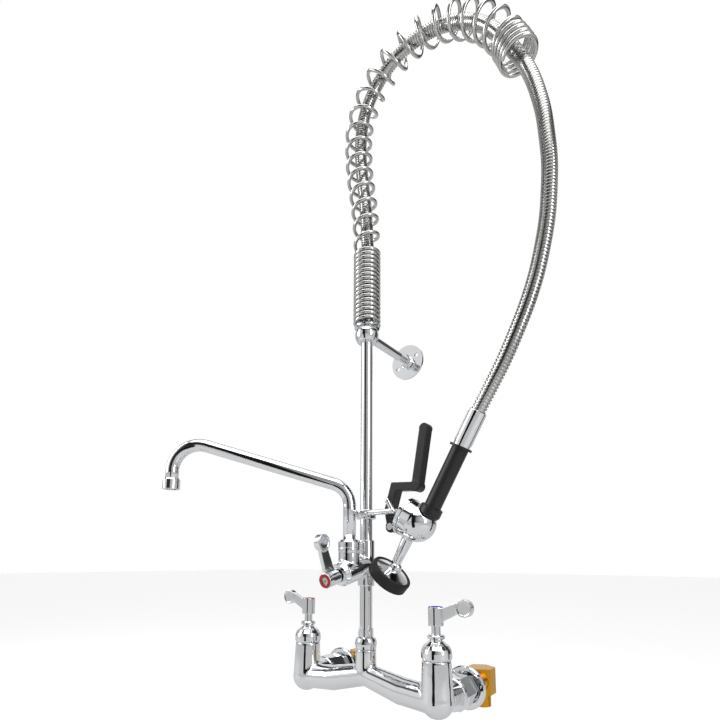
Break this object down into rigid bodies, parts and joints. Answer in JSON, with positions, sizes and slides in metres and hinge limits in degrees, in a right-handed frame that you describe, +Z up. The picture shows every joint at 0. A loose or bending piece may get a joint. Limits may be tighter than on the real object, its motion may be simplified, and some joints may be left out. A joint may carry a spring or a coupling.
{
  "type": "pre rinse faucet",
  "caption": "Wall mounted chrome pre rinse faucet with lever handles, a spring hung hose, a squeeze spray valve and an add-on swing spout.",
  "frame": {"origin": "middle of the backsplash face, midway between the two inlets and level with them", "axes": "+X from the hot valve to the cold valve, +Y into the wall, +Z up"},
  "size_m": [0.4712, 0.329, 0.9713],
  "materials": {
    "chrome": "polished",
    "stainless": "satin",
    "brass": "satin",
    "bumper_rubber": "matte",
    "seal_rubber": "matte",
    "black_plastic": "matte",
    "red_plastic": "gloss",
    "blue_plastic": "gloss"
  },
  "bodies": {
    "faucet": {"base_body": "chrome", "seat_washers": "seal_rubber", "hot_bonnet": "chrome", "hot_cartridge": "brass", "hot_gland_nut": "chrome", "cold_bonnet": "chrome", "cold_cartridge": "brass", "cold_gland_nut": "chrome", "union_washers": "seal_rubber", "coupling_nuts": "chrome", "hot_nipple": "chrome", "cold_nipple": "chrome", "wall_flanges": "chrome", "inlet_locknuts": "chrome", "hot_elbow": "brass", "cold_elbow": "brass", "hub_nut": "chrome", "riser_gasket": "seal_rubber", "riser_lower": "chrome", "riser_upper": "chrome", "riser_collar": "chrome", "addon_body": "chrome", "addon_bonnet": "chrome", "addon_cartridge": "brass", "spout_nut": "chrome", "bracket_rod": "chrome", "bracket_locknut": "chrome", "bracket_flange": "chrome", "finger_hook": "chrome", "hook_set_screw": "stainless", "hose_nut": "chrome", "hose": "stainless", "overhead_spring": "stainless", "hose_ferrule": "chrome", "valve_body": "chrome", "valve_cap": "chrome", "valve_spring": "stainless", "grip_sleeve": "black_plastic", "pivot_screw": "stainless", "spray_head": "chrome", "spray_bumper": "bumper_rubber", "spray_face": "stainless"},
    "hot_handle": {"hot_stem": "chrome", "hot_lever": "chrome", "hot_index_ring": "red_plastic", "hot_lever_screw": "stainless"},
    "cold_handle": {"cold_stem": "chrome", "cold_lever": "chrome", "cold_index_ring": "blue_plastic", "cold_lever_screw": "stainless"},
    "addon_handle": {"addon_stem": "chrome", "addon_lever": "chrome", "addon_index_ring": "red_plastic", "addon_lever_screw": "stainless"},
    "swing_spout": {"spout_foot": "chrome", "spout_tube": "chrome", "spout_nozzle": "chrome", "spout_orings": "seal_rubber"},
    "spray_lever": {"squeeze_lever": "black_plastic"},
    "spray_plunger": {"valve_plunger": "stainless"}
  },
  "joints": [
    {"name": "hot_turn", "type": "hinge", "parent": "faucet", "child": "hot_handle", "pos_m": [-0.1016, -0.078, 0.0465], "axis": [0, 0, 1], "range_deg": [0, 90]},
    {"name": "cold_turn", "type": "hinge", "parent": "faucet", "child": "cold_handle", "pos_m": [0.1016, -0.078, 0.0465], "axis": [0, 0, 1], "range_deg": [-90, 0]},
    {"name": "addon_turn", "type": "hinge", "parent": "faucet", "child": "addon_handle", "pos_m": [0, -0.1304, 0.14224], "axis": [0, -0.9703, -0.2419], "range_deg": [0, 90]},
    {"name": "spout_swing", "type": "hinge", "parent": "faucet", "child": "swing_spout", "pos_m": [0, -0.1145, 0.1755], "axis": [0, 0, 1], "range_deg": [-45, 135]},
    {"name": "squeeze", "type": "hinge", "parent": "faucet", "child": "spray_lever", "pos_m": [0.04376, -0.078, 0.20197], "axis": [0, 1, 0], "range_deg": [0, 10], "stiffness_Nm_per_rad": 2, "springref_deg": -2.86},
    {"name": "plunger_press", "type": "slide", "parent": "faucet", "child": "spray_plunger", "axis": [0.8686, 0, -0.4955], "range_m": [0, 0.0038], "deforming": ["valve_spring"]}
  ],
  "couplings": [
    {"joint": "plunger_press", "follows": "squeeze", "m_per_rad": 0.0215}
  ]
}
